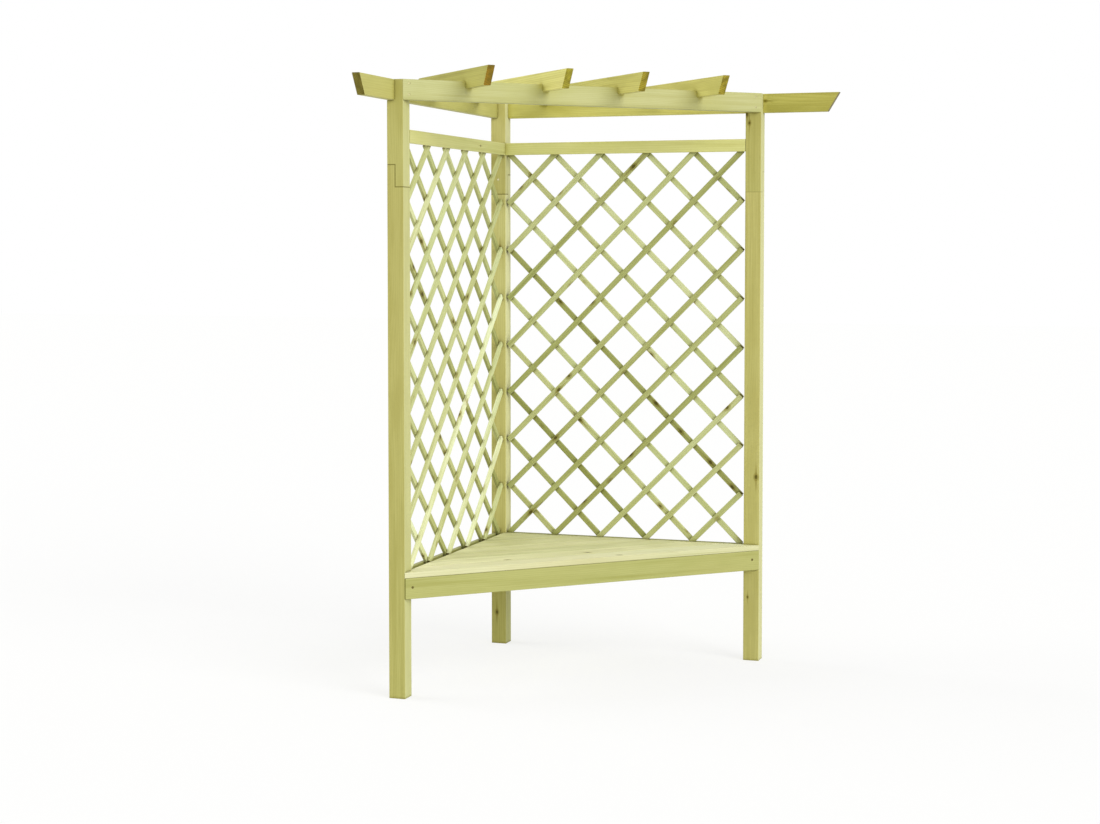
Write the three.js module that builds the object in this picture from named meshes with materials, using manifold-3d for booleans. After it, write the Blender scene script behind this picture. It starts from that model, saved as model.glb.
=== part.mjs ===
// Corner arbour seat in softwood. Millimetres, +Z up.
// Three lapped posts carry two side beams, a diagonal front beam and four rafters.
// Two trellis panels close the walls and a triangular seat of boards fills the corner.
import * as THREE from "three";
import { mergeVertices } from "three/addons/utils/BufferGeometryUtils.js";
import Module from "manifold-3d";

const wasm = await Module();
wasm.setup();

// Driving dimensions: the whole object
const overallWidth = 1300; // along either wall, from the rafter ends to the beam tip
const overallHeight = 1970; // ground to the rafters' top edge
const seatTop = 398; // ground to the boards' top face
const fit = 0.3; // gap left wherever one piece meets another
const arris = 2; // radius planed along the timbers' long edges
const arrisSteps = 3;

// Posts, each in two sections joined by a half lap
const postSide = 54;
const lapLength = 69;
const lapDrop = 199; // from the beams' underside to the lap's upper end

// Top beams and rafters
const beamDepth = 64;
const beamThick = 25;
const beamTail = 259; // reach of a side beam past its end post
const beamSlant = 39; // how far a side beam's end leans in from top to bottom
const rafterDepth = 60;
const rafterThick = 24;
const rafterNotch = 22; // sawn up into a rafter where it sits on a beam
const rafterTail = 68; // reach of the rafters behind the walls' outer faces
const rafterReach = 170; // in front of the front beam
const rafterSlant = 33;
const rafterPlaceShares = [0.1715, 0.3786, 0.5873, 0.8156]; // centre lines along the front's length

// Trellis panels
const cellsAcross = 5; // whole diamond openings side by side
const cellsUp = 8;
const lathWidth = 18.2;
const lathThick = 10.5;
const lathBite = 0.2; // how far two crossing laths press into each other
const lathTail = 6; // past the last crossing
const cornerMargin = 11.5; // corner post to the nearest crossings
const endMargin = 17.5; // end post to the nearest crossings
const latticeRise = 2; // lowest crossings over the seat's top
const latticeDrop = 41.4; // top rail's top edge to the highest crossings
const panelDrop = 89; // from the beams' underside to the top rail's top edge
const topRailThick = 8.5;
const railThick = 18; // foot rails and wall bearers
const railDepth = 42;
const footRailDrop = 2; // foot rail's top edge below the seat's top

// Seat
const bearerDepth = 66;
const frontRailThick = 22;
const boardThick = 18;
const boardCount = 7;
const boardGap = 3;
const boardLap = 7; // how far the boards lie over the wall bearers

// Countersunk wood screws
const screwRadius = 2;
const screwHeadRadius = 4;
const screwHeadDepth = 2.6;
const screwPoint = 6; // length of the tapered tip
const screwSides = 12;
const screwSink = 0.4; // head below the timber's face
const screwHold = 20; // reach of a level screw into the second timber
const rafterScrewHold = 24; // reach of a rafter's screw into the beam below
const lapScrewCover = 10; // timber left beyond the tip of a lap's screw
const frontScrewInset = 21; // from the front beam's ends
const railScrewInset = 27; // from the seat's front rail's ends
const frontBeamScrewShares = [0.26, 0.8]; // heights, as shares of the beams' depth
const leftBeamScrewShare = 0.34;
const rightBeamScrewShare = 0.62;
const railScrewShare = 0.55; // of the front rail's depth
const lapScrewShare = 0.75; // of the lap's length

// Sizes worked out from the driving dimensions
const wallSpan = overallWidth - beamTail - rafterTail; // outer corner to an end post's far face
const wallEnd = wallSpan - postSide; // from the outer corner to an end post's near face
const frontLength = wallEnd * Math.SQRT2;
const cornerDepth = frontLength / 2; // front plane to the corner post's inner edge
const skew = fit * Math.SQRT2; // the same gap measured along a 45 degree end
const rafterRise = rafterDepth - rafterNotch; // how far the rafters stand over the beams
const beamTop = overallHeight - rafterRise;
const beamFoot = beamTop - beamDepth;
const lapTop = beamFoot - lapDrop;
const lapBottom = lapTop - lapLength;
const topRailTop = beamFoot - panelDrop;
const footRailTop = seatTop - footRailDrop;
const latticeFoot = seatTop + latticeRise;
const latticeTop = topRailTop - latticeDrop;
const halfCellAcross = (wallEnd - postSide - cornerMargin - endMargin) / (2 * cellsAcross);
const halfCellUp = (latticeTop - latticeFoot) / (2 * cellsUp);
const bearerTop = seatTop - boardThick;
const bearerFoot = bearerTop - bearerDepth;
const rafterPlaces = rafterPlaceShares.map((share) => share * frontLength);
const beamScrew = beamThick + screwHold;
const railScrew = frontRailThick + screwHold;
const rafterScrew = rafterRise + rafterScrewHold;
const lapScrew = postSide - lapScrewCover;
const lapScrewHeight = lapBottom + lapScrewShare * lapLength;

// Frames: walls share the outer corner; each wall runs left to right as seen from the seat
const arbour = new THREE.Group();
const walls = new THREE.Group();
const rightWall = new THREE.Group();
const leftWall = new THREE.Group();
const front = new THREE.Group();
arbour.add(walls);
walls.add(rightWall, leftWall, front);
walls.position.set(rafterTail - overallWidth / 2, overallWidth / 2 - rafterTail, 0);
leftWall.position.set(0, -wallSpan, 0);
leftWall.rotation.z = Math.PI / 2;
front.position.set(postSide, -wallSpan, 0);
front.rotation.z = Math.PI / 4;
arbour.updateMatrixWorld(true);

// Materials
function pine(colour) {
  return new THREE.MeshStandardMaterial({ color: colour, roughness: 0.75, metalness: 0 });
}

const postColour = 0xb9b271;
const beamColour = 0xcfcf90;
const rafterColour = 0xb5b065;
const lathColour = 0xb4b878;
const railColour = 0xb6b56e;
const boardColour = 0xd8d6a0;

function zinc() {
  return new THREE.MeshStandardMaterial({ color: 0x8c8a84, roughness: 0.4, metalness: 0.9 });
}

// Shapes
function outline(points) {
  return new THREE.Shape(points.map(([x, y]) => new THREE.Vector2(x, y)));
}

// A plan outline raised from one height to another
function raised(points, bottom, top) {
  const options = { depth: top - bottom, bevelEnabled: false };
  return new THREE.ExtrudeGeometry(outline(points), options).translate(0, 0, bottom);
}

function block(x0, x1, y0, y1, bottom, top) {
  return raised([[x0, y0], [x1, y0], [x1, y1], [x0, y1]], bottom, top);
}

// A side view, given along y and up z, made thick along x about x = centre
function plank(points, centre, thick) {
  const options = { depth: thick, bevelEnabled: false };
  const geometry = new THREE.ExtrudeGeometry(outline(points), options);
  const alongY = new THREE.Vector3(0, 1, 0);
  const upZ = new THREE.Vector3(0, 0, 1);
  const acrossX = new THREE.Vector3(1, 0, 0);
  geometry.applyMatrix4(new THREE.Matrix4().makeBasis(alongY, upZ, acrossX));
  return geometry.translate(centre - thick / 2, 0, 0);
}

// Cutting and joining
function solidOf(geometry) {
  const bare = geometry.clone();
  bare.deleteAttribute("normal");
  bare.deleteAttribute("uv");
  const merged = mergeVertices(bare);
  return new wasm.Manifold(new wasm.Mesh({
    numProp: 3,
    vertProperties: new Float32Array(merged.attributes.position.array),
    triVerts: new Uint32Array(wholeTriangles(merged.index.array)),
  }));
}

// Turned shapes close on their axis with triangles of no area, which are left out
function wholeTriangles(index) {
  const kept = [];
  for (let start = 0; start < index.length; start += 3) {
    const [a, b, c] = index.slice(start, start + 3);
    if (a !== b && b !== c && c !== a) kept.push(a, b, c);
  }
  return kept;
}

function geometryOf(solid) {
  const mesh = solid.getMesh();
  const geometry = new THREE.BufferGeometry();
  geometry.setAttribute("position", new THREE.BufferAttribute(mesh.vertProperties, 3));
  geometry.setIndex(new THREE.BufferAttribute(mesh.triVerts, 1));
  geometry.computeVertexNormals();
  return geometry;
}

function joined(geometries) {
  const solids = geometries.map(solidOf);
  return geometryOf(solids.reduce((all, next) => all.add(next)));
}

// A timber's four long edges rounded. Its grain runs along x, y or z of its frame.
function planed(geometry, grain) {
  geometry.computeBoundingBox();
  const { min, max } = geometry.boundingBox;
  const size = max.clone().sub(min);
  const [across, up] = { x: ["y", "z"], y: ["z", "x"], z: ["x", "y"] }[grain];
  const section = new THREE.Shape();
  const side = size[across] / 2 - arris;
  const top = size[up] / 2 - arris;
  section.absarc(side, top, arris, 0, Math.PI / 2);
  section.absarc(-side, top, arris, Math.PI / 2, Math.PI);
  section.absarc(-side, -top, arris, Math.PI, 3 * Math.PI / 2);
  section.absarc(side, -top, arris, 3 * Math.PI / 2, 2 * Math.PI);
  const length = size[grain] + 2 * arris;
  const options = { depth: length, bevelEnabled: false, curveSegments: arrisSteps };
  const bar = new THREE.ExtrudeGeometry(section, options).translate(0, 0, -length / 2);
  const axes = { x: [1, 0, 0], y: [0, 1, 0], z: [0, 0, 1] };
  const basis = [across, up, grain].map((axis) => new THREE.Vector3(...axes[axis]));
  bar.applyMatrix4(new THREE.Matrix4().makeBasis(...basis));
  bar.translate(...min.clone().add(max).divideScalar(2).toArray());
  return geometryOf(solidOf(geometry).intersect(solidOf(bar)));
}

function cut(geometry, tools) {
  const solids = tools.map(solidOf);
  return geometryOf(solids.reduce((left, tool) => left.subtract(tool), solidOf(geometry)));
}

const timbers = [];
const screws = [];
const down = new THREE.Vector3(0, 0, -1);
const inwards = new THREE.Vector3(0, 1, 0); // from the front towards the corner
const rightwards = new THREE.Vector3(1, 0, 0);
const roomwards = new THREE.Vector3(0, -1, 0); // from the right wall into the seat

function addTimber(frame, name, geometry, colour) {
  const mesh = new THREE.Mesh(geometry, pine(colour));
  mesh.name = name;
  frame.add(mesh);
  timbers.push(mesh);
}

// Posts: the split of each lap faces along x or along y
function postSections(frame, name, x, y, splitAlongY, notches) {
  const middle = postSide / 2;
  const lower = [
    [0, 0], [postSide, 0], [postSide, lapBottom],
    [middle, lapBottom], [middle, lapTop - fit], [0, lapTop - fit],
  ];
  const upper = [
    [middle + fit, lapBottom + fit], [postSide, lapBottom + fit], [postSide, beamTop],
    [0, beamTop], [0, lapTop], [middle + fit, lapTop],
  ];
  // Section profiles run outwards to inwards: along +x on the left post, along -y elsewhere
  const turn = splitAlongY ? Math.PI : -Math.PI / 2;
  for (const [part, points] of [["lower", lower], ["upper", upper]]) {
    const geometry = plank(points, middle, postSide);
    geometry.translate(-middle, -middle, 0).rotateZ(turn);
    geometry.translate(middle + x, middle + y, 0);
    addTimber(frame, `${name}_${part}`, cut(planed(geometry, "z"), notches), postColour);
  }
}

// Seats for the side beams, sawn out of the posts' outer sides from the top down
function beamNotches(left, right) {
  const shoulder = beamFoot - fit;
  const over = beamTop + fit;
  const depth = beamThick + fit;
  const run = wallSpan + fit;
  const notches = [];
  if (left) notches.push(block(-fit, depth, -run, fit, shoulder, over));
  if (right) notches.push(block(-fit, run, -depth, fit, shoulder, over));
  return notches;
}

function addPosts() {
  postSections(walls, "post_left", 0, -wallSpan, false, beamNotches(true, false));
  postSections(walls, "post_corner", 0, -postSide, true, beamNotches(true, true));
  postSections(walls, "post_right", wallEnd, -postSide, true, beamNotches(false, true));
}

// Side beams: the right one runs through at the corner and the left one butts against it
function sideBeam(near) {
  const tip = wallSpan + beamTail;
  return [[near, beamFoot], [tip - beamSlant, beamFoot], [tip, beamTop], [near, beamTop]];
}

// A rail across the front, mitred to lie against the faces of both end posts
function frontRail(thick, bottom, top) {
  return raised([
    [skew, 0], [frontLength - skew, 0],
    [frontLength - thick - skew, thick], [thick + skew, thick],
  ], bottom, top);
}

function addBeams() {
  const middle = beamThick / 2;
  const right = plank(sideBeam(0), 0, beamThick).rotateZ(-Math.PI / 2).translate(0, -middle, 0);
  const left = plank(sideBeam(beamThick + fit), 0, beamThick).rotateZ(Math.PI);
  const across = frontRail(beamThick, beamFoot, beamTop);
  addTimber(walls, "beam_left", planed(left.translate(middle, 0, 0), "y"), beamColour);
  addTimber(walls, "beam_right", planed(right, "x"), beamColour);
  addTimber(front, "beam_front", planed(across, "x"), beamColour);
}

// Rafters run square to the front and are notched down over the front beam and a side beam
function rafterEnd(place) {
  const half = rafterThick / 2;
  const reachLeft = place - half + (postSide + rafterTail) * Math.SQRT2;
  const reachRight = (wallSpan + rafterTail) * Math.SQRT2 - place - half;
  return Math.min(reachLeft, reachRight);
}

function addRafters() {
  const bottom = overallHeight - rafterDepth;
  const toFront = front.matrix.clone().invert();
  const sideSeats = beamNotches(true, true).map((seat) => seat.applyMatrix4(toFront));
  rafterPlaces.forEach((place, index) => {
    const end = rafterEnd(place);
    const body = plank([
      [-rafterReach + rafterSlant, bottom], [end, bottom],
      [end, overallHeight], [-rafterReach, overallHeight],
    ], place, rafterThick);
    const left = place - rafterThick;
    const right = place + rafterThick;
    const frontSeat = block(left, right, -fit, beamThick + fit, bottom - fit, beamTop + fit);
    const shape = cut(planed(body, "y"), [frontSeat, ...sideSeats]);
    addTimber(front, `rafter_${index + 1}`, shape, rafterColour);
  });
}

// Trellis: laths rising to the right stand in front of laths falling to the right
function lath(from, to, origin, y, rise) {
  const length = (to - from) * Math.hypot(halfCellAcross, halfCellUp) + 2 * lathTail;
  const geometry = new THREE.BoxGeometry(length, lathThick, lathWidth);
  geometry.rotateY(-rise * Math.atan2(halfCellUp, halfCellAcross));
  return geometry.translate(origin.x + (from + to) * halfCellAcross / 2, y, origin.z);
}

function latticeShape(leftMargin) {
  const across = 2 * cellsAcross;
  const up = 2 * cellsUp;
  const x = postSide + leftMargin;
  const frontY = -postSide + topRailThick + fit + lathThick / 2;
  const backY = frontY + lathThick - lathBite;
  const laths = [];
  for (let step = 2 - up; step < across; step += 2) {
    const from = Math.max(0, step);
    const to = Math.min(across, up + step);
    const z = latticeFoot + ((from + to) / 2 - step) * halfCellUp;
    laths.push(lath(from, to, { x, z }, frontY, 1));
  }
  for (let step = 2; step < across + up; step += 2) {
    const from = Math.max(0, step - up);
    const to = Math.min(across, step);
    const z = latticeFoot + (step - (from + to) / 2) * halfCellUp;
    laths.push(lath(from, to, { x, z }, backY, -1));
  }
  return joined(laths);
}

// Each wall: top rail, lattice behind it, foot rail behind the lattice, and a seat bearer
function addWall(frame, side, leftMargin) {
  const left = postSide + fit;
  const right = wallEnd - fit;
  const inner = -postSide;
  const outer = inner + railThick;
  const topOuter = inner + topRailThick;
  const footInner = topOuter + 2 * lathThick + 2 * fit;
  const footOuter = footInner + railThick;
  const topRail = block(left, right, inner, topOuter, topRailTop - railDepth, topRailTop);
  const footRail = block(left, right, footInner, footOuter, footRailTop - railDepth, footRailTop);
  const bearer = block(left, right, inner, outer, bearerFoot, bearerTop);
  addTimber(frame, `trellis_top_rail_${side}`, planed(topRail, "x"), railColour);
  addTimber(frame, `trellis_foot_rail_${side}`, planed(footRail, "x"), railColour);
  addTimber(frame, `trellis_lattice_${side}`, latticeShape(leftMargin), lathColour);
  addTimber(frame, `seat_bearer_${side}`, planed(bearer, "x"), railColour);
}

// Seat frame: the mitred front rail, and a middle bearer pointed to fit the corner
function addSeatFrame() {
  const rail = frontRail(frontRailThick, bearerFoot, bearerTop);
  const middle = frontLength / 2;
  const half = frontRailThick / 2;
  const near = frontRailThick + fit;
  const far = cornerDepth - skew;
  const bearer = raised([
    [middle - half, near], [middle + half, near],
    [middle + half, far - half], [middle, far], [middle - half, far - half],
  ], bearerFoot, bearerTop);
  addTimber(front, "seat_front_rail", planed(rail, "x"), railColour);
  addTimber(front, "seat_bearer_middle", planed(bearer, "y"), railColour);
}

// The whole seat's outline, notched round the three posts, seen in the front's frame
function seatOutline() {
  const inner = postSide + fit;
  const far = wallEnd - fit;
  const tip = wallSpan - fit;
  const edge = postSide - boardLap;
  const toFront = front.matrix.clone().invert();
  return [
    [inner, -tip], [tip, -inner],
    [far, -inner], [far, -edge],
    [inner, -edge], [inner, -inner], [edge, -inner],
    [edge, -far], [inner, -far],
  ].map(([x, y]) => {
    const point = new THREE.Vector3(x, y, 0).applyMatrix4(toFront);
    return [point.x, point.y];
  });
}

// The part of an outline on one side of a line across it: side is 1 beyond the line, -1 before it
function trimmed(points, line, side) {
  const kept = [];
  points.forEach(([x, y], index) => {
    const [nextX, nextY] = points[(index + 1) % points.length];
    const here = side * (y - line);
    const next = side * (nextY - line);
    if (here >= 0) kept.push([x, y]);
    if (here * next < 0) kept.push([x + (nextX - x) * here / (here - next), line]);
  });
  return kept;
}

function addBoards() {
  const seat = seatOutline();
  const depth = Math.max(...seat.map(([, y]) => y));
  const pitch = depth / boardCount;
  for (let board = 0; board < boardCount; board += 1) {
    let points = seat;
    if (board > 0) points = trimmed(points, board * pitch + boardGap / 2, 1);
    if (board < boardCount - 1) points = trimmed(points, (board + 1) * pitch - boardGap / 2, -1);
    const shape = raised(points, bearerTop + fit, bearerTop + boardThick);
    addTimber(front, `seat_board_${board + 1}`, planed(shape, "x"), boardColour);
  }
}

// Screws: a countersunk head, a plain shank and a tapered point, pointing down from z = 0
function screwProfile(length, margin) {
  const shank = screwRadius + margin;
  return [
    [0, -length - margin], [shank, screwPoint - length],
    [shank, -screwHeadDepth], [screwHeadRadius + margin, 0],
  ];
}

function turned(profile) {
  const points = profile.map(([x, y]) => new THREE.Vector2(x, y));
  return new THREE.LatheGeometry(points, screwSides).rotateX(Math.PI / 2);
}

// The drilled hole clears the screw all round and lets its head sink below the face
function holeShape(length) {
  const head = screwHeadRadius + fit;
  const above = 2 * screwSink;
  return turned([...screwProfile(length, fit), [head, above], [0, above]]);
}

function addScrew(frame, name, length, place, direction) {
  const geometry = geometryOf(solidOf(turned([...screwProfile(length, 0), [0, 0]])));
  const mesh = new THREE.Mesh(geometry, zinc());
  mesh.name = name;
  mesh.position.copy(place).addScaledVector(direction, screwSink);
  mesh.quaternion.setFromUnitVectors(down, direction);
  frame.add(mesh);
  screws.push({ mesh, length });
}

function addFrontScrews() {
  const right = frontLength - frontScrewInset;
  for (const [side, x] of [["left", frontScrewInset], ["right", right]]) {
    frontBeamScrewShares.forEach((share, index) => {
      const place = new THREE.Vector3(x, 0, beamFoot + share * beamDepth);
      addScrew(front, `screw_front_beam_${side}_${index + 1}`, beamScrew, place, inwards);
    });
  }
  const railRight = frontLength - railScrewInset;
  for (const [side, x] of [["left", railScrewInset], ["right", railRight]]) {
    const place = new THREE.Vector3(x, 0, bearerFoot + railScrewShare * bearerDepth);
    addScrew(front, `screw_front_rail_${side}`, railScrew, place, inwards);
  }
}

// One screw through each lap: from the room side at the corner, from outside at the ends
function addLapScrews() {
  const middle = postSide / 2;
  const left = new THREE.Vector3(0, middle - wallSpan, lapScrewHeight);
  const corner = new THREE.Vector3(middle, -postSide, lapScrewHeight);
  const right = new THREE.Vector3(wallSpan - middle, 0, lapScrewHeight);
  addScrew(walls, "screw_lap_left", lapScrew, left, rightwards);
  addScrew(walls, "screw_lap_corner", lapScrew, corner, inwards);
  addScrew(walls, "screw_lap_right", lapScrew, right, roomwards);
}

// Side beams are screwed to their posts from outside, through the middle of what the notch leaves
function addSideBeamScrews() {
  const end = wallSpan - postSide / 2;
  const corner = (postSide + beamThick) / 2;
  for (const [place, run] of [["end", end], ["corner", corner]]) {
    const left = new THREE.Vector3(0, -run, beamFoot + leftBeamScrewShare * beamDepth);
    const right = new THREE.Vector3(run, 0, beamFoot + rightBeamScrewShare * beamDepth);
    addScrew(walls, `screw_left_beam_${place}`, beamScrew, left, rightwards);
    addScrew(walls, `screw_right_beam_${place}`, beamScrew, right, roomwards);
  }
}

// Each rafter is screwed down into the front beam and into the side beam that it crosses
function addRafterScrews() {
  const middle = beamThick / 2;
  rafterPlaces.forEach((place, index) => {
    const onLeft = place + (postSide - middle) * Math.SQRT2;
    const onRight = (wallSpan - middle) * Math.SQRT2 - place;
    const back = Math.min(onLeft, onRight);
    for (const [end, y] of [["front", middle], ["back", back]]) {
      const top = new THREE.Vector3(place, y, overallHeight);
      addScrew(front, `screw_rafter_${index + 1}_${end}`, rafterScrew, top, down);
    }
  });
}

// Drill every timber for the screws that reach into it
function drillTimbers() {
  arbour.updateMatrixWorld(true);
  for (const timber of timbers) {
    timber.geometry.computeBoundingBox();
    const toTimber = timber.matrixWorld.clone().invert();
    const holes = screws.map(({ mesh, length }) => {
      const place = toTimber.clone().multiply(mesh.matrixWorld);
      return holeShape(length).applyMatrix4(place);
    });
    const reaching = holes.filter((hole) => {
      hole.computeBoundingBox();
      return hole.boundingBox.intersectsBox(timber.geometry.boundingBox);
    });
    if (reaching.length > 0) timber.geometry = cut(timber.geometry, reaching);
  }
}

addPosts();
addBeams();
addRafters();
addWall(rightWall, "right", cornerMargin);
addWall(leftWall, "left", endMargin);
addSeatFrame();
addBoards();
addFrontScrews();
addLapScrews();
addSideBeamScrews();
addRafterScrews();
drillTimbers();
arbour.updateMatrixWorld(true);

export default arbour;
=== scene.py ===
import math
import random
from dataclasses import dataclass

import bmesh
import bpy
from mathutils import Euler, Matrix, Vector


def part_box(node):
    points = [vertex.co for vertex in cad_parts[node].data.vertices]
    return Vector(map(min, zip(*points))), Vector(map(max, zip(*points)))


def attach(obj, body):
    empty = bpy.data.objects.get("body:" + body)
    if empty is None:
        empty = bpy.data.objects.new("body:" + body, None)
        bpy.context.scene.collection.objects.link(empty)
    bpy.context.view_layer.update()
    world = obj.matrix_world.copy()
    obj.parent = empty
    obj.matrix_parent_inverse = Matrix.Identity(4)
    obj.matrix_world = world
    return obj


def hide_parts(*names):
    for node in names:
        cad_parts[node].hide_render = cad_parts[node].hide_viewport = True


# Looks of the corner arbour seat. Metres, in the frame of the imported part.
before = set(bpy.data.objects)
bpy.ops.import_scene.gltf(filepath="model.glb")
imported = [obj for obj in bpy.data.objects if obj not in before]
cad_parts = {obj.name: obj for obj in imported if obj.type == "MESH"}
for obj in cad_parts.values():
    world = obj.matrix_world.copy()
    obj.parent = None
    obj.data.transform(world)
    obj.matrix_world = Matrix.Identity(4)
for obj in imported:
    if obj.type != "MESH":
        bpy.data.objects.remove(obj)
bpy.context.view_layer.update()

# Camera, fitted to the photograph
IMAGE_WIDTH = 1100
IMAGE_HEIGHT = 824
SENSOR_WIDTH = 36.0
FOCAL_PIXELS = 1980.7
AXIS_ROW = 345.0  # picture row that the optical axis passes through
CAMERA_PLACE = (1.8805, -6.0546, 1.4170)
CAMERA_YAW = 0.3283
CAMERA_PITCH = -0.0499
CAMERA_REACH = 100.0  # past the floor's edge


def place_in_scene(obj):
    bpy.context.scene.collection.objects.link(obj)
    return obj


def to_data(mesh, name):
    data = bpy.data.meshes.new(name)
    mesh.to_mesh(data)
    mesh.free()
    return data


def add_camera():
    data = bpy.data.cameras.new("camera")
    camera = place_in_scene(bpy.data.objects.new("camera", data))
    camera.location = CAMERA_PLACE
    camera.rotation_euler = Euler((math.pi / 2 + CAMERA_PITCH, 0.0, CAMERA_YAW))
    data.sensor_width = SENSOR_WIDTH
    data.lens = FOCAL_PIXELS / IMAGE_WIDTH * SENSOR_WIDTH
    data.shift_y = (AXIS_ROW - IMAGE_HEIGHT / 2) / IMAGE_WIDTH
    data.clip_end = CAMERA_REACH
    bpy.context.scene.camera = camera


add_camera()

# Sizes of the part that the looks follow
POST_SIDE = 0.054
WALL_SPAN = 0.973  # outer corner to the far face of an end post
WALL_CORNER = Vector((-0.582, 0.582, 0.0))  # where the walls' outer faces meet
LAP_TOP = 1.669  # the half laps in the posts
LAP_BOTTOM = 1.600

MIX_INPUTS = (0, 6, 7)  # a Mix node's share and two colours: other sockets have the same names
MIX_OUTPUT = 2
NOISE_MIDDLE = 0.5


@dataclass(frozen=True)
class Noise:
    """A pattern of spots or streaks."""
    scales: tuple  # waves per metre along x, y and z
    detail: float = 2.0
    rough: float = 0.5
    low: float = 0.0  # values below this don't show
    high: float = 1.0  # values above this show in full
    share: float = 1.0  # how strongly they show then


class Graph:
    """Shader nodes written as nested calls: each call returns the socket that the next one takes."""

    def __init__(self, owner):
        owner.use_nodes = True
        self.owner = owner
        self.tree = owner.node_tree
        self.tree.nodes.clear()

    def node(self, kind, settings=None, **inputs):
        made = self.tree.nodes.new(kind)
        for key, value in (settings or {}).items():
            setattr(made, key, value)
        for key, value in inputs.items():
            self.feed(made.inputs[key.replace("_", " ")], value)
        return made

    def feed(self, socket, value):
        if isinstance(value, bpy.types.NodeSocket):
            self.tree.links.new(value, socket)
        else:
            socket.default_value = value

    def place(self):
        """The point, in its object's own frame."""
        return self.node("ShaderNodeTexCoord").outputs["Object"]

    def facing(self):
        """Which way the surface faces, in the same frame."""
        return self.node("ShaderNodeTexCoord").outputs["Normal"]

    def attribute(self, name):
        return self.node("ShaderNodeAttribute", {"attribute_name": name}).outputs["Fac"]

    def math(self, operation, *values):
        made = self.node("ShaderNodeMath", {"operation": operation})
        for socket, value in zip(made.inputs, values):
            self.feed(socket, value)
        return made.outputs[0]

    def add(self, *values):
        total = values[0]
        for value in values[1:]:
            total = self.math("ADD", total, value)
        return total

    def times(self, *values):
        product = values[0]
        for value in values[1:]:
            product = self.math("MULTIPLY", product, value)
        return product

    def less(self, first, second):
        return self.math("SUBTRACT", first, second)

    def size(self, value):
        return self.math("ABSOLUTE", value)

    def vector(self, operation, *values):
        made = self.node("ShaderNodeVectorMath", {"operation": operation})
        for socket, value in zip(made.inputs, values):
            self.feed(socket, value)
        return made.outputs["Value" if operation in ("LENGTH", "DOT_PRODUCT") else "Vector"]

    def length(self, vector, stretch=None):
        if stretch is not None:
            vector = self.vector("MULTIPLY", vector, stretch)
        return self.vector("LENGTH", vector)

    def parts(self, vector):
        made = self.node("ShaderNodeSeparateXYZ", Vector=vector)
        return made.outputs["X"], made.outputs["Y"], made.outputs["Z"]

    def step(self, value, low, high):
        """0 below low, 1 above high and smooth between them."""
        made = self.node("ShaderNodeMapRange", {"interpolation_type": "SMOOTHSTEP"})
        for key, given in (("Value", value), ("From Min", low), ("From Max", high)):
            self.feed(made.inputs[key], given)
        return made.outputs["Result"]

    def fade(self, value, low, high):
        """1 below low, 0 above high and smooth between them."""
        return self.less(1.0, self.step(value, low, high))

    def spread(self, value, low, high):
        """0 to 1 stretched over low to high."""
        made = self.node("ShaderNodeMapRange")
        for key, given in (("Value", value), ("To Min", low), ("To Max", high)):
            self.feed(made.inputs[key], given)
        return made.outputs["Result"]

    def noise(self, place, kind):
        scaled = self.vector("MULTIPLY", place, kind.scales)
        settings = dict(Scale=1.0, Detail=kind.detail, Roughness=kind.rough)
        return self.node("ShaderNodeTexNoise", Vector=scaled, **settings).outputs["Fac"]

    def shown(self, value, kind):
        """How much of a noise of this kind shows."""
        return self.spread(self.step(value, kind.low, kind.high), 0.0, kind.share)

    def mix(self, share, first, second, blend="MIX"):
        made = self.node("ShaderNodeMix", {"data_type": "RGBA", "blend_type": blend})
        for index, value in zip(MIX_INPUTS, (share, first, second)):
            self.feed(made.inputs[index], value)
        return made.outputs[MIX_OUTPUT]

    def finish(self, surface, output="ShaderNodeOutputMaterial"):
        self.node(output, Surface=surface)
        return self.owner


def new_material(name):
    return Graph(bpy.data.materials.new(name))


def linear(red, green, blue):
    """A colour as it is read off a picture, 0 to 255, in Blender's linear values."""
    def channel(value):
        share = value / 255
        return share / 12.92 if share <= 0.04045 else ((share + 0.055) / 1.055) ** 2.4
    return (channel(red), channel(green), channel(blue), 1.0)


@dataclass(frozen=True)
class CornerShade:
    """Painted shade that darkens inner corners."""
    reach: float  # how far out of the corner it comes
    strength: float
    colour: tuple


# dark olive: real grime on sawn ends and in lap lines, and the colour of the painted shade in corners
GRIME_AND_SHADE = (104, 95, 20)
# painted shade in inner corners, for the kinds of timber
CORNER_SHADE = CornerShade(0.012, 0.75, GRIME_AND_SHADE)
LATH_CORNER_SHADE = CornerShade(0.02, 0.9, GRIME_AND_SHADE)
ROOF_CORNER_SHADE = CornerShade(0.03, 0.65, (150, 141, 30))
RAFTER_SHADOW = CornerShade(0.2, 0.9, (186, 176, 66))  # painted shadow of the rafters on the front beam beside them


@dataclass(frozen=True)
class Look:
    """A kind of timber."""
    pale: tuple  # colours, 0 to 255: earlywood
    late: tuple  # latewood
    patch: tuple  # weathered patches
    # painted shade in the inner corners
    corner_shade: CornerShade = CORNER_SHADE
    knots: float = 0.2  # share of the places for a knot that have one
    spacing: float = 0.3  # from one such place to the next along the grain
    painted_light: float = 0.0  # how much painted light the faces towards +X get
    painted_side_shade: float = 1.0  # painted shade on the faces that aren't level


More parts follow.
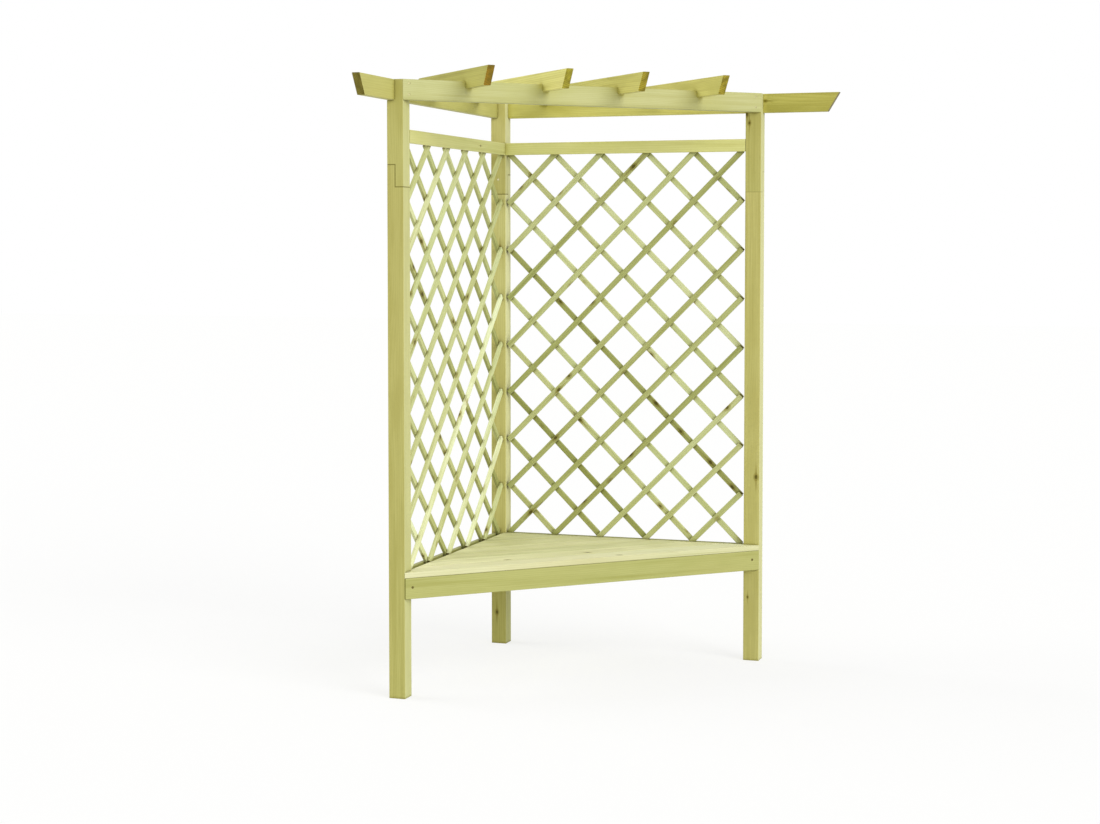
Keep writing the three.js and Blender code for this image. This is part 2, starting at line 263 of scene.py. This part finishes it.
LOOKS = {  # colours in the order pale, late, patch
    "post": Look((191, 185, 113), (172, 165, 90), (179, 172, 98), knots=0.05, painted_light=0.35),
    "beam": Look((198, 197, 146), (179, 176, 114), (187, 186, 125), RAFTER_SHADOW),
    "rafter": Look((203, 198, 110), (167, 158, 70), (177, 171, 82), ROOF_CORNER_SHADE, knots=0.0),
    "left beam": Look((199, 194, 121), (182, 175, 101), (185, 181, 106), ROOF_CORNER_SHADE, knots=0.0),
    "lath": Look((200, 204, 149), (168, 171, 105), (180, 183, 119), LATH_CORNER_SHADE, knots=0.8, spacing=0.14),
    "rail": Look((182, 182, 117), (162, 161, 90), (172, 173, 105)),
    "top rail": Look((213, 211, 139), (193, 190, 110), (203, 202, 123), ROOF_CORNER_SHADE, knots=0.0),
    "left top rail": Look((207, 205, 141), (187, 184, 112), (197, 196, 125), ROOF_CORNER_SHADE, knots=0.0),
    "board": Look((218, 217, 162), (174, 172, 104), (195, 194, 131), painted_side_shade=0.86),
    "front board": Look((232, 229, 187), (208, 205, 152), (221, 218, 171), painted_side_shade=0.86),
}
# the colour of the painted light on faces towards +X
PAINTED_LIGHT_COLOUR = (212, 217, 170)
YELLOWING = 1.85  # a darker timber is also yellower: the power of the tone that its blue follows
SAWN_END = (136, 124, 60)
END_RING = (92, 76, 24)
END_RING_SHARE = 0.7
PORE = (205, 190, 120)
WARM = (255, 246, 228)  # tints that drift through a timber
COOL = (244, 255, 240)
TINT_SHARE = 0.55

# Patterns in the wood. x runs along the grain.
FIBRES = Noise((12.0, 650.0, 650.0), detail=3.0, rough=0.6, low=0.5, high=0.8, share=0.25)
STREAKS = Noise((2.0, 75.0, 75.0), low=0.45, high=0.8, share=0.8)
PATCHES = Noise((4.0, 15.0, 15.0), low=0.45, high=0.72, share=0.8)
TINTS = Noise((1.3, 5.0, 5.0), detail=1.0)
BLOTCHES = Noise((8.0, 45.0, 45.0), low=0.4, high=0.65, share=0.7)
PORES = Noise((90.0, 900.0, 900.0), share=0.5)
SWAY = Noise((1.6, 9.0, 9.0), detail=1.0)
SEED_SHIFT = (3.7, 1.3, 0.7)  # metres along each axis that they move for each unit of a seed

# Growth rings
RING_WIDTH = 0.0052  # one year's growth
PITH = (0.0, 0.031, 0.047)  # centre of the tree, from the middle of the timber
ACROSS_GRAIN = (0.0, 1.0, 1.0)
RING_SWAY = 0.034  # metres that the rings wander
LATEWOOD_RISE = (0.3, 0.88)  # shares of a year in which the latewood comes
LATEWOOD_FALL = (0.92, 1.0)  # and goes
LATEWOOD_SHARE = 0.34

# Knots. Distances from the middle of one are in its half widths.
KNOT_HALF = 0.009
KNOT_ROW = 0.04  # room for one across the grain
KNOT_SCATTER = 0.9  # how far their places are from a regular grid, up to 1
KNOT_STRETCH = Vector((1.5, 1.0, 1.0))
KNOT_CHOICE = 0.002  # how sharply the places that have one are told from the rest
KNOT_RAGGED = 0.5  # how much the fibres fray a knot's edge
HEART = dict(fade=(0.45, 0.75), colour=(86, 78, 14), share=0.9)
RIM = dict(fade=(0.85, 1.5), colour=(130, 116, 34), share=0.55)
TRAIL = dict(fade=(0.3, 1.15), stretch=(0.2, 1.9, 1.9), share=0.6)  # runs out along the grain
SWELL = dict(fade=(0.2, 1.6), stretch=(0.35, 0.6, 0.6), push=0.005)  # metres that it pushes the rings

# How far a face looks along an axis where a mask starts and where it is full
SAWN_TURN = (0.62, 0.72)  # along the grain
PAINTED_LIGHT_TURN = (0.6, 0.9)  # towards +X, where the painted light goes
LEVEL_TURN = (0.5, 0.8)  # up or down

# Surface
RELIEF_SHARES = dict(latewood=0.5, fibre=0.8, patches=0.9, streaks=0.9)
HEART_DIP = 0.8
RELIEF_STRENGTH = 0.2
RELIEF_DEPTH = 0.0006
ROUGH_SHARES = dict(fibre=0.5, streaks=0.5)
ROUGHNESS = (0.56, 0.76)
FINISH = dict(IOR=1.47, Specular_IOR_Level=0.25, Sheen_Weight=0.15, Sheen_Roughness=0.4)
OPEN_SKY = (0.35, 0.9)  # share of the sky that is seen where painted shade is full and where there is none
SKY_SAMPLES = 6
JOINT_LINE = (0.0006, 0.0026)  # how far from a joint its dark line starts to fade and is gone


@dataclass(frozen=True)
class Lap:
    """A half lap between two sections of a post."""
    way: tuple  # from the upper section's half to the lower one's
    split: float  # how far along it they meet
    strength: float  # of the dark line


@dataclass(frozen=True)
class Change:
    """Another tone beyond a plane."""
    way: tuple  # the plane's way out
    start: float
    width: float  # over which the tone changes
    tone: float


@dataclass
class Wood:
    """One timber, and how it differs from others of its look."""
    look: Look
    end: tuple = SAWN_END
    seed: float = 0.0
    centre: tuple = (0.0, 0.0, 0.0)
    turn: tuple = (0.0, 0.0, 0.0)
    tone: float = 1.0
    marks: tuple = ()  # knots put where the photograph shows them: place and half width
    lap: Lap = None
    changes: tuple = ()
    loose: bool = False  # a lath that carries its own seed, tone and sawn ends


@dataclass
class Grain:
    """The sockets that a timber's colour and relief are mixed from."""
    seeded: object  # the point, shifted by the seed
    fibre: object
    streaks: object
    patches: object
    latewood: object
    heart: object
    rim: object
    trail: object


def grain_space(g, wood):
    """The point, and which way the surface faces, in a frame whose x runs along the grain."""
    def turned(vector):
        settings = {"rotation_type": "EULER_XYZ", "invert": True}
        return g.node("ShaderNodeVectorRotate", settings, Vector=vector, Rotation=wood.turn).outputs[0]
    return turned(g.vector("SUBTRACT", g.place(), wood.centre)), turned(g.facing())


def knot_masks(g, offset, present, ragged):
    """Heart, rim, trail and swell of one knot."""
    reach = g.add(g.length(offset), ragged)
    trail = g.add(g.length(offset, TRAIL["stretch"]), ragged)
    swell = g.length(offset, SWELL["stretch"])
    pairs = ((reach, HEART), (reach, RIM), (trail, TRAIL), (swell, SWELL))
    return [g.times(g.fade(distance, *part["fade"]), present) for distance, part in pairs]


def all_knots(g, wood, place, seeded, ragged):
    """The masks of the scattered knots and of those that have a set place."""
    share = wood.look.knots
    room = Vector((wood.look.spacing, KNOT_ROW, KNOT_ROW))
    cells = g.vector("DIVIDE", seeded, room)
    voronoi = g.node("ShaderNodeTexVoronoi", Vector=cells, Scale=1.0, Randomness=KNOT_SCATTER)
    picked, _, _ = g.parts(voronoi.outputs["Color"])
    present = g.step(picked, 1.0 - share, 1.0 + KNOT_CHOICE - share)
    offset = g.vector("SUBTRACT", cells, voronoi.outputs["Position"])
    knots_per_room = [a / b for a, b in zip(room, KNOT_STRETCH * KNOT_HALF)]
    found = knot_masks(g, g.vector("MULTIPLY", offset, knots_per_room), present, ragged)
    to_grain = Euler(wood.turn).to_matrix().inverted()
    for mark, half in wood.marks:
        at = to_grain @ (Vector(mark) - Vector(wood.centre))
        offset = g.vector("DIVIDE", g.vector("SUBTRACT", place, at), KNOT_STRETCH * half)
        found = [g.math("MAXIMUM", *pair) for pair in zip(found, knot_masks(g, offset, 1.0, ragged))]
    return found


def latewood_mask(g, place, seeded, swell):
    """Growth rings about the pith, swayed by slow noise and pushed aside by knots."""
    off_pith = g.vector("SUBTRACT", g.vector("MULTIPLY", place, ACROSS_GRAIN), PITH)
    sway = g.times(g.less(g.noise(seeded, SWAY), NOISE_MIDDLE), RING_SWAY)
    radius = g.add(g.length(off_pith), sway, g.times(swell, SWELL["push"]))
    year = g.math("FRACT", g.math("DIVIDE", radius, RING_WIDTH))
    return g.times(g.step(year, *LATEWOOD_RISE), g.fade(year, *LATEWOOD_FALL))


def read_grain(g, wood, place):
    seed = g.attribute("seed") if wood.loose else wood.seed
    shift = dict(zip("XYZ", (g.times(seed, share) for share in SEED_SHIFT)))
    seeded = g.vector("ADD", place, g.node("ShaderNodeCombineXYZ", **shift).outputs[0])
    fibre = g.noise(seeded, FIBRES)
    ragged = g.times(g.less(fibre, NOISE_MIDDLE), KNOT_RAGGED)
    heart, rim, trail, swell = all_knots(g, wood, place, seeded, ragged)
    latewood = latewood_mask(g, place, seeded, swell)
    streaks, patches = g.noise(seeded, STREAKS), g.noise(seeded, PATCHES)
    return Grain(seeded, fibre, streaks, patches, latewood, heart, rim, trail)


def planed_colour(g, look, grain):
    """The long faces: rings, streaks, patches and fibres, a drifting tint, and the knots on top."""
    late = linear(*look.late)
    rim = linear(*RIM["colour"])
    tint = g.mix(g.noise(grain.seeded, TINTS), linear(*WARM), linear(*COOL))
    colour = linear(*look.pale)
    layers = (
        (g.spread(grain.latewood, 0.0, LATEWOOD_SHARE), late, "MIX"),
        (g.shown(grain.streaks, STREAKS), late, "MIX"),
        (g.shown(grain.patches, PATCHES), linear(*look.patch), "MIX"),
        (g.shown(grain.fibre, FIBRES), late, "MULTIPLY"),
        (TINT_SHARE, tint, "MULTIPLY"),
        (g.spread(grain.trail, 0.0, TRAIL["share"]), rim, "MIX"),
        (g.spread(grain.rim, 0.0, RIM["share"]), rim, "MIX"),
        (g.spread(grain.heart, 0.0, HEART["share"]), linear(*HEART["colour"]), "MIX"),
    )
    for share, layer, blend in layers:
        colour = g.mix(share, colour, layer, blend)
    return colour


def sawn_colour(g, end, grain):
    """The sawn ends: growth rings, blotches and open pores."""
    colour = g.mix(g.spread(grain.latewood, 0.0, END_RING_SHARE), linear(*end), linear(*END_RING))
    blotches = g.shown(g.noise(grain.seeded, BLOTCHES), BLOTCHES)
    colour = g.mix(blotches, colour, linear(*GRIME_AND_SHADE))
    pores = g.spread(g.noise(grain.seeded, PORES), 0.0, PORES.share)
    return g.mix(pores, colour, linear(*PORE), "MULTIPLY")


def corner_shade_mask(g, distance):
    """1 in tight inner corners, 0 in the open: where painted shade goes."""
    sky = g.node("ShaderNodeAmbientOcclusion", {"samples": SKY_SAMPLES}, Distance=distance)
    return g.fade(sky.outputs["AO"], *OPEN_SKY)


def joint_line(g, lap):
    """A dark line where a half lap's sections meet: across the top, down the middle and across the foot."""
    place = g.place()
    run = g.less(g.vector("DOT_PRODUCT", place, lap.way), lap.split)
    _, _, z = g.parts(place)
    middle = (LAP_TOP + LAP_BOTTOM) / 2
    half = (LAP_TOP - LAP_BOTTOM) / 2
    upper = g.math("MAXIMUM", g.size(g.less(z, LAP_TOP)), run)
    lower = g.math("MAXIMUM", g.size(g.less(z, LAP_BOTTOM)), g.times(run, -1.0))
    beside = g.less(g.size(g.less(z, middle)), half)
    split = g.math("MAXIMUM", g.size(run), beside)
    nearest = g.math("MINIMUM", g.math("MINIMUM", upper, lower), split)
    return g.times(g.fade(nearest, *JOINT_LINE), lap.strength)


def painted_light_shade_and_laps(g, wood, colour):
    """Painted light on the faces towards +X, painted shade in the inner corners and the dark lines of a half
    lap.
    """
    look = wood.look
    # painted light on the faces towards +X
    if look.painted_light:
        towards_x, _, _ = g.parts(g.facing())
        painted_light = g.spread(g.step(towards_x, *PAINTED_LIGHT_TURN), 0.0, look.painted_light)
        colour = g.mix(painted_light, colour, linear(*PAINTED_LIGHT_COLOUR))
    # painted shade in the inner corners
    corner_shade = g.times(corner_shade_mask(g, look.corner_shade.reach), look.corner_shade.strength)
    colour = g.mix(corner_shade, colour, linear(*look.corner_shade.colour))
    if wood.lap:
        colour = g.mix(joint_line(g, wood.lap), colour, linear(*GRIME_AND_SHADE))
    return colour


def changed_tone(g, change):
    beyond = g.less(g.vector("DOT_PRODUCT", g.place(), change.way), change.start)
    return g.spread(g.step(beyond, 0.0, change.width), 1.0, change.tone)


def toned(g, wood, colour, level):
    """The colour at the timber's own tone, with painted shade on its sides where the look says so."""
    tone = g.attribute("tone") if wood.loose else wood.tone
    for change in wood.changes:
        tone = g.times(changed_tone(g, change), tone)
    yellow = g.math("POWER", tone, YELLOWING)
    # painted shade on the faces that aren't level
    side = g.spread(g.step(level, *LEVEL_TURN), wood.look.painted_side_shade, 1.0)
    shades = dict(Red=g.times(side, tone), Green=g.times(side, tone), Blue=g.times(side, yellow))
    return g.mix(1.0, colour, g.node("ShaderNodeCombineColor", **shades).outputs[0], "MULTIPLY")


def sum_of(g, grain, shares):
    """Some of the grain's masks added up, each times its share."""
    return g.add(*(g.times(getattr(grain, name), share) for name, share in shares.items()))


def relief(g, grain):
    height = g.less(sum_of(g, grain, RELIEF_SHARES), g.times(grain.heart, HEART_DIP))
    return g.node("ShaderNodeBump", Strength=RELIEF_STRENGTH, Distance=RELIEF_DEPTH, Height=height).outputs[0]


def softwood(name, wood):
    """Planed, pressure-treated pine with rings, fibres, patches, knots and sawn ends."""
    g = new_material(name)
    place, facing = grain_space(g, wood)
    grain = read_grain(g, wood, place)
    along, _, level = (g.size(part) for part in g.parts(facing))
    sawn = g.attribute("sawn") if wood.loose else g.step(along, *SAWN_TURN)
    colour = g.mix(sawn, planed_colour(g, wood.look, grain), sawn_colour(g, wood.end, grain))
    colour = toned(g, wood, painted_light_shade_and_laps(g, wood, colour), level)
    rough = g.spread(sum_of(g, grain, ROUGH_SHARES), *ROUGHNESS)
    inputs = dict(Base_Color=colour, Roughness=rough, Normal=relief(g, grain), **FINISH)
    return g.finish(g.node("ShaderNodeBsdfPrincipled", **inputs).outputs[0])


# Which way each timber's grain runs, as a turn of the x axis
UPRIGHT = (0.0, -math.pi / 2, 0.0)
ALONG_X = (0.0, 0.0, 0.0)
ALONG_Y = (0.0, 0.0, math.pi / 2)
ALONG_FRONT = (0.0, 0.0, math.pi / 4)
SQUARE_TO_FRONT = (0.0, 0.0, 3 * math.pi / 4)

POSTS = [f"post_{side}_{half}" for side in ("left", "corner", "right") for half in ("lower", "upper")]
TIMBERS = {  # look and grain; their order sets their seeds and chance tones
    **{post: ("post", UPRIGHT) for post in POSTS},
    "beam_front": ("beam", ALONG_FRONT),
    "beam_left": ("left beam", ALONG_Y),
    "beam_right": ("rafter", ALONG_X),
    **{f"rafter_{number}": ("rafter", SQUARE_TO_FRONT) for number in range(1, 5)},
    "trellis_top_rail_left": ("left top rail", ALONG_Y),
    "trellis_top_rail_right": ("top rail", ALONG_X),
    "trellis_foot_rail_left": ("rail", ALONG_Y),
    "trellis_foot_rail_right": ("rail", ALONG_X),
    "seat_bearer_left": ("rail", ALONG_Y),
    "seat_bearer_right": ("rail", ALONG_X),
    "seat_bearer_middle": ("rail", SQUARE_TO_FRONT),
    "seat_front_rail": ("rail", ALONG_FRONT),
    "seat_board_1": ("front board", ALONG_FRONT),
    **{f"seat_board_{number}": ("board", ALONG_FRONT) for number in range(2, 8)},
}
TONES = {  # timbers that are lighter or darker than their look
    "post_corner_upper": 1.22, "post_corner_lower": 1.18, "post_right_lower": 1.08,
    "beam_left": 0.89, "beam_right": 1.2,
    "rafter_1": 0.85, "rafter_2": 1.34, "rafter_3": 1.07, "rafter_4": 1.14,
    "trellis_top_rail_right": 1.09,
    "trellis_foot_rail_left": 0.75, "trellis_foot_rail_right": 0.6,
    # seat boards 5 to 7, towards the walls, are darker as painted shade
    "seat_board_2": 1.1, "seat_board_4": 1.05, "seat_board_5": 0.95,
    "seat_board_6": 0.9, "seat_board_7": 0.88,
}
TONE_RANGE = (0.97, 1.03)  # chance differences between timbers
TONE_SEED = 11
DOWN = (0, 0, -1)
TO_LEFT_END = (-0.707, -0.707, 0)  # along the front
CHANGES = {  # darker and paler stretches
    "beam_right": (Change((1, 0, 0), start=0.391, width=0.02, tone=0.71),),
    "beam_front": (Change(DOWN, start=-1.885, width=0.02, tone=0.86),),
    "post_corner_lower": (
        Change(DOWN, start=-1.3, width=0.4, tone=0.9),
        # painted shade below the seat
        Change(DOWN, start=-0.385, width=0.02, tone=0.8),
    ),
    "post_corner_upper": (Change(DOWN, start=-1.745, width=0.02, tone=0.84),),
    "seat_front_rail": (Change((-1, 0, 0), start=0.5252, width=0.0012, tone=0.35),),
    "seat_board_1": (Change(TO_LEFT_END, start=0.2, width=0.35, tone=1.07),),
    "seat_board_2": (Change(TO_LEFT_END, start=0.1, width=0.35, tone=1.12),),
}
ENDS = {  # colours of the sawn ends that show
    "beam_left": (148, 139, 56), "rafter_1": (180, 143, 33), "rafter_2": (168, 162, 46),
    "rafter_3": (178, 164, 44), "rafter_4": (180, 166, 48),
}
MARKS = {  # the photograph's knots: place and half width
    "post_right_lower": (((0.3795, 0.528, 0.6315), 0.008), ((0.352, 0.528, 0.218), 0.004)),
    "post_right_upper": (((0.3419, 0.528, 1.8613), 0.006), ((0.3507, 0.528, 1.8325), 0.006)),
    "beam_right": (((0.3972, 0.557, 1.9074), 0.006),),
    "trellis_top_rail_left": (((-0.5285, 0.2831, 1.7583), 0.0035),),
    "post_corner_lower": (((-0.5485, 0.528, 1.412), 0.006), ((-0.5617, 0.528, 0.1116), 0.007)),
}
LAPS = {
    "left": Lap(way=(1, 0, 0), split=WALL_CORNER.x + POST_SIDE / 2, strength=0.75),
    "corner": Lap(way=(0, -1, 0), split=POST_SIDE / 2 - WALL_CORNER.y, strength=0.85),
    "right": Lap(way=(0, -1, 0), split=POST_SIDE / 2 - WALL_CORNER.y, strength=0.2),
}
MERGE_DISTANCE = 0.00001
SHARP_ANGLE = math.radians(36)  # edges that turn more than this stay crisp


def lap_of(node):
    for side, lap in LAPS.items():
        if node.startswith(f"post_{side}"):
            return lap
    return None


def wood_of(node, number, tone):
    look, turn = TIMBERS[node]
    low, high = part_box(node)
    return Wood(
        LOOKS[look],
        end=ENDS.get(node, SAWN_END),
        seed=1.0 + number,
        centre=tuple((Vector(low) + Vector(high)) / 2),
        turn=turn,
        tone=tone * TONES.get(node, 1.0),
        marks=MARKS.get(node, ()),
        lap=lap_of(node),
        changes=CHANGES.get(node, ()),
    )


def mesh_group(name):
    """A node group that takes a mesh and gives one back."""
    group = bpy.data.node_groups.new(name, "GeometryNodeTree")
    for way in ("INPUT", "OUTPUT"):
        group.interface.new_socket("Geometry", in_out=way, socket_type="NodeSocketGeometry")
    return group


def eased_edges():
    """Smooths the arrises that the CAD rounds and keeps every sawn edge crisp."""
    group = mesh_group("eased_edges")
    new = group.nodes.new
    start = new("NodeGroupInput")
    stop = new("NodeGroupOutput")
    merge = new("GeometryNodeMergeByDistance")
    merge.inputs["Distance"].default_value = MERGE_DISTANCE
    angle = new("GeometryNodeInputMeshEdgeAngle")
    sharp = new("FunctionNodeCompare")
    sharp.data_type = "FLOAT"
    sharp.operation = "GREATER_THAN"
    sharp.inputs[1].default_value = SHARP_ANGLE
    faces = new("GeometryNodeSetShadeSmooth")
    edges = new("GeometryNodeSetShadeSmooth")
    edges.domain = "EDGE"
    edges.inputs["Shade Smooth"].default_value = False
    link = group.links.new
    link(start.outputs[0], merge.inputs["Geometry"])
    link(merge.outputs[0], faces.inputs["Geometry"])
    link(faces.outputs[0], edges.inputs["Geometry"])
    link(angle.outputs["Unsigned Angle"], sharp.inputs[0])
    link(sharp.outputs[0], edges.inputs["Selection"])
    link(edges.outputs[0], stop.inputs[0])
    return group


def ease(timber, group):
    timber.modifiers.new("eased edges", "NODES").node_group = group
    weigh = timber.modifiers.new("flat faces", "WEIGHTED_NORMAL")
    weigh.keep_sharp = True


def dress_timbers():
    dice = random.Random(TONE_SEED)
    group = eased_edges()
    for number, node in enumerate(TIMBERS):
        wood = wood_of(node, number, dice.uniform(*TONE_RANGE))
        look, _ = TIMBERS[node]
        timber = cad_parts[node]
        timber.data.materials.clear()
        timber.data.materials.append(softwood(f"{look}_{node}", wood))
        ease(timber, group)


dress_timbers()

# Trellis laths: as in the part, but 0.3 mm thinner, so that crossing laths don't press into each other
LATH_WIDTH = 0.0182
LATH_THICK = 0.0102
LATH_ARRIS = 0.0012
ARRIS_STEPS = 3
LATH_TAIL = 0.006  # past the last crossing
HALF_CELL = 0.0836
CELLS_ACROSS = 5
CELLS_UP = 8
LATTICE_FOOT = 0.400
FRONT_DEPTH = 0.03995  # from the walls' outer face to the middle of the front laths
BACK_DEPTH = 0.02965
CORNER_MARGIN = 0.0115
END_MARGIN = 0.0175
LATH_END = (128, 118, 50)
LATH_SEED = 5
LATH_PATTERNS = (1, 60)  # seeds of the laths' own patterns
LATH_TONE_RANGE = (0.92, 1.08)
END_TONES = {  # shares of a lath's tone at its left and right end, as seen from the seat; the left wall's raised shares are painted light on laths that face +X
    "left_front": (1.1, 1.1), "left_back": (1.18, 0.84),
    "right_front": (1.0, 1.0), "right_back": (1.0, 1.0),
}
LATH_TONES = {  # laths that are darker or paler than most
    0.68: ("right_back_15", "right_back_18", "left_back_18"),
    0.76: ("right_front_3", "right_front_5", "right_front_9", "right_back_14",
           "left_back_20", "left_back_21"),
    0.86: ("right_front_7", "right_front_8", "right_back_24", "left_back_15", "left_back_17"),
    1.13: ("right_front_11", "right_back_13", "right_back_19", "right_back_22",
           "left_back_19", "left_front_2"),
    1.3: ("right_back_21", "right_back_23",
          "left_front_8", "left_front_10", "left_front_11", "left_back_13"),
}


def set_ends(data, name, left, right):
    """A number at either end of a bar along x, for its material to read: it runs evenly between them."""
    held = data.attributes.new(name, "FLOAT", "POINT")
    held.data.foreach_set("value", [right if vertex.co.x > 0 else left for vertex in data.vertices])


def mark_sawn_ends(data):
    """1 on the faces that look along the bar, 0 on the others."""
    held = data.attributes.new("sawn", "FLOAT", "FACE")
    held.data.foreach_set("value", [float(abs(face.normal.x) > 0.9) for face in data.polygons])


def rounded_bar(name, length):
    """A lath along x whose four long edges are rounded."""
    mesh = bmesh.new()
    size = Matrix.Diagonal((length, LATH_THICK, LATH_WIDTH, 1.0))
    bmesh.ops.create_cube(mesh, size=1.0, matrix=size)
    long_edges = [e for e in mesh.edges if abs((e.verts[0].co - e.verts[1].co).x) > length / 2]
    rounding = dict(offset=LATH_ARRIS, segments=ARRIS_STEPS, profile=0.5, affect="EDGES")
    bmesh.ops.bevel(mesh, geom=long_edges, **rounding)
    return to_data(mesh, name)


def lath_rows():
    """Each lath as the half cells where it starts and ends, its first height and 1 for up or -1 for down."""
    across, up = 2 * CELLS_ACROSS, 2 * CELLS_UP
    rows = []
    for step in range(2 - up, across, 2):
        start, stop = max(0, step), min(across, up + step)
        rows.append((start, stop, start - step, 1))
    for step in range(2, across + up, 2):
        start, stop = max(0, step - up), min(across, step)
        rows.append((start, stop, step - start, -1))
    return rows


def lath_tone(name, dice):
    tone = dice.uniform(*LATH_TONE_RANGE)
    for share, names in LATH_TONES.items():
        if name in names:
            return tone * share
    return tone


def lath_place(row, left_margin):
    """From a wall's left end at the floor: the middle of a lath and how it leans."""
    start, stop, low, rise = row
    middle = Vector((
        POST_SIDE + left_margin + (start + stop) / 2 * HALF_CELL,
        -FRONT_DEPTH if rise > 0 else -BACK_DEPTH,
        LATTICE_FOOT + (low + rise * (stop - start) / 2) * HALF_CELL,
    ))
    return Matrix.Translation(middle) @ Matrix.Rotation(-rise * math.pi / 4, 4, "Y")


def add_laths(side, wall, left_margin, material, dice):
    for number, row in enumerate(lath_rows(), 1):
        start, stop, _, rise = row
        kind = f"{side}_{'front' if rise > 0 else 'back'}"
        name = f"{kind}_{number}"
        seed = dice.uniform(*LATH_PATTERNS)
        tone = lath_tone(name, dice)
        length = (stop - start) * HALF_CELL * math.sqrt(2) + 2 * LATH_TAIL
        bar = rounded_bar(name, length)
        set_ends(bar, "seed", seed, seed)
        set_ends(bar, "tone", *(tone * share for share in END_TONES[kind]))
        mark_sawn_ends(bar)
        bar.materials.append(material)
        lath = place_in_scene(bpy.data.objects.new(f"lath_{name}", bar))
        lath.matrix_world = wall @ lath_place(row, left_margin)
        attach(lath, "root")
        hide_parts(f"trellis_lattice_{side}")


def add_trellis():
    dice = random.Random(LATH_SEED)
    right_wall = Matrix.Translation(WALL_CORNER)
    left_end = WALL_CORNER - Vector((0, WALL_SPAN, 0))
    left_wall = Matrix.Translation(left_end) @ Matrix.Rotation(math.pi / 2, 4, "Z")
    material = softwood("lath", Wood(LOOKS["lath"], end=LATH_END, loose=True))
    add_laths("right", right_wall, CORNER_MARGIN, material, dice)
    add_laths("left", left_wall, END_MARGIN, material, dice)


add_trellis()

# Screws
BRIGHT_ZINC = ((196, 192, 146), (238, 234, 196))  # darker and lighter spots
DULL_ZINC = ((146, 142, 98), (186, 182, 134))
# painted shade: the front rail's screws are darkened to the shade of their holes
SHADED_ZINC = ((88, 80, 34), (124, 114, 62))
ZINC_SPOTS = Noise((900.0, 900.0, 900.0), detail=3.0)
ZINC_ROUGHNESS = (0.35, 0.6)
ZINC_METAL = 0.8
# painted shade in the screw heads' recesses
RECESS_SHADE = CornerShade(0.003, 0.8, GRIME_AND_SHADE)


def screw_metal(name, colours):
    g = new_material(name)
    spots = g.noise(g.place(), ZINC_SPOTS)
    dark, light = (linear(*colour) for colour in colours)
    colour = g.mix(spots, dark, light)
    # painted shade in the recesses
    corner_shade = g.times(corner_shade_mask(g, RECESS_SHADE.reach), RECESS_SHADE.strength)
    colour = g.mix(corner_shade, colour, linear(*RECESS_SHADE.colour), "MULTIPLY")
    inputs = dict(Base_Color=colour, Roughness=g.spread(spots, *ZINC_ROUGHNESS), Metallic=ZINC_METAL)
    return g.finish(g.node("ShaderNodeBsdfPrincipled", **inputs).outputs[0])


def dress_screws():
    bright = screw_metal("zinc", BRIGHT_ZINC)
    dull = screw_metal("zinc, dulled", DULL_ZINC)
    # painted shade on the front rail's screws
    shaded_zinc = screw_metal("zinc, painted shade", SHADED_ZINC)
    kinds = {"screw_front_rail": shaded_zinc, "screw_front_beam": dull}
    for node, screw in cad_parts.items():
        if node.startswith("screw_"):
            found = [metal for start, metal in kinds.items() if node.startswith(start)]
            screw.data.materials.clear()
            screw.data.materials.append(found[0] if found else bright)


dress_screws()

# Stage
WHITE = (1.0, 1.0, 1.0, 1.0)
FLOOR_SIZE = 60.0
FLOOR_COLOUR = (238, 238, 236)
SHADOW_SHARE = 0.3  # how much of the floor's own shading the camera sees; the rest is white
FLOOR_WHITE = 1.04  # lifts the unshaded floor back to white
WORLD_LIGHT = 0.62
SOFTBOXES = {  # strength and the direction it shines from
    "key": (1.8, Vector((0.79, -0.42, 0.43))),
    "fill": (1.3, Vector((-0.90, -0.05, 0.43))),
}
SOFTBOX_ANGLE = 0.7  # how wide each looks, in radians


def seen_directly(g):
    """Camera rays, and the glossy or transmitted rays that show the backdrop in a surface."""
    path = g.node("ShaderNodeLightPath")
    gloss = g.math("MAXIMUM", path.outputs["Is Glossy Ray"], path.outputs["Is Transmission Ray"])
    return path.outputs["Is Camera Ray"], gloss


def floor_paint():
    """Takes the object's shadow, and is nearly white to the camera."""
    g = new_material("floor")
    matt = g.node("ShaderNodeBsdfDiffuse", Color=linear(*FLOOR_COLOUR))
    camera, gloss = seen_directly(g)
    strength = g.math("MAXIMUM", g.times(camera, FLOOR_WHITE), gloss)
    white = g.node("ShaderNodeEmission", Color=WHITE, Strength=strength)
    share = g.math("MAXIMUM", g.times(camera, 1.0 - SHADOW_SHARE), gloss)
    mixed = g.node("ShaderNodeMixShader")
    for socket, value in zip(mixed.inputs, (share, matt.outputs[0], white.outputs[0])):
        g.feed(socket, value)
    return g.finish(mixed.outputs[0])


def add_floor():
    mesh = bmesh.new()
    bmesh.ops.create_grid(mesh, x_segments=1, y_segments=1, size=FLOOR_SIZE / 2)
    data = to_data(mesh, "floor")
    data.materials.append(floor_paint())
    floor = place_in_scene(bpy.data.objects.new("floor", data))


def add_world():
    world = bpy.data.worlds.new("studio")
    bpy.context.scene.world = world
    g = Graph(world)
    camera, gloss = seen_directly(g)
    seen = g.math("MAXIMUM", camera, gloss)
    strength = g.add(g.times(seen, 1.0 - WORLD_LIGHT), WORLD_LIGHT)
    background = g.node("ShaderNodeBackground", Color=WHITE, Strength=strength)
    g.finish(background.outputs[0], "ShaderNodeOutputWorld")


def add_softboxes():
    for name, (strength, direction) in SOFTBOXES.items():
        data = bpy.data.lights.new(name, "SUN")
        data.energy = strength
        data.angle = SOFTBOX_ANGLE
        lamp = place_in_scene(bpy.data.objects.new(name, data))
        lamp.rotation_euler = direction.to_track_quat("Z", "Y").to_euler()


add_floor()
add_world()
add_softboxes()
bpy.context.scene.view_settings.view_transform = "Standard"
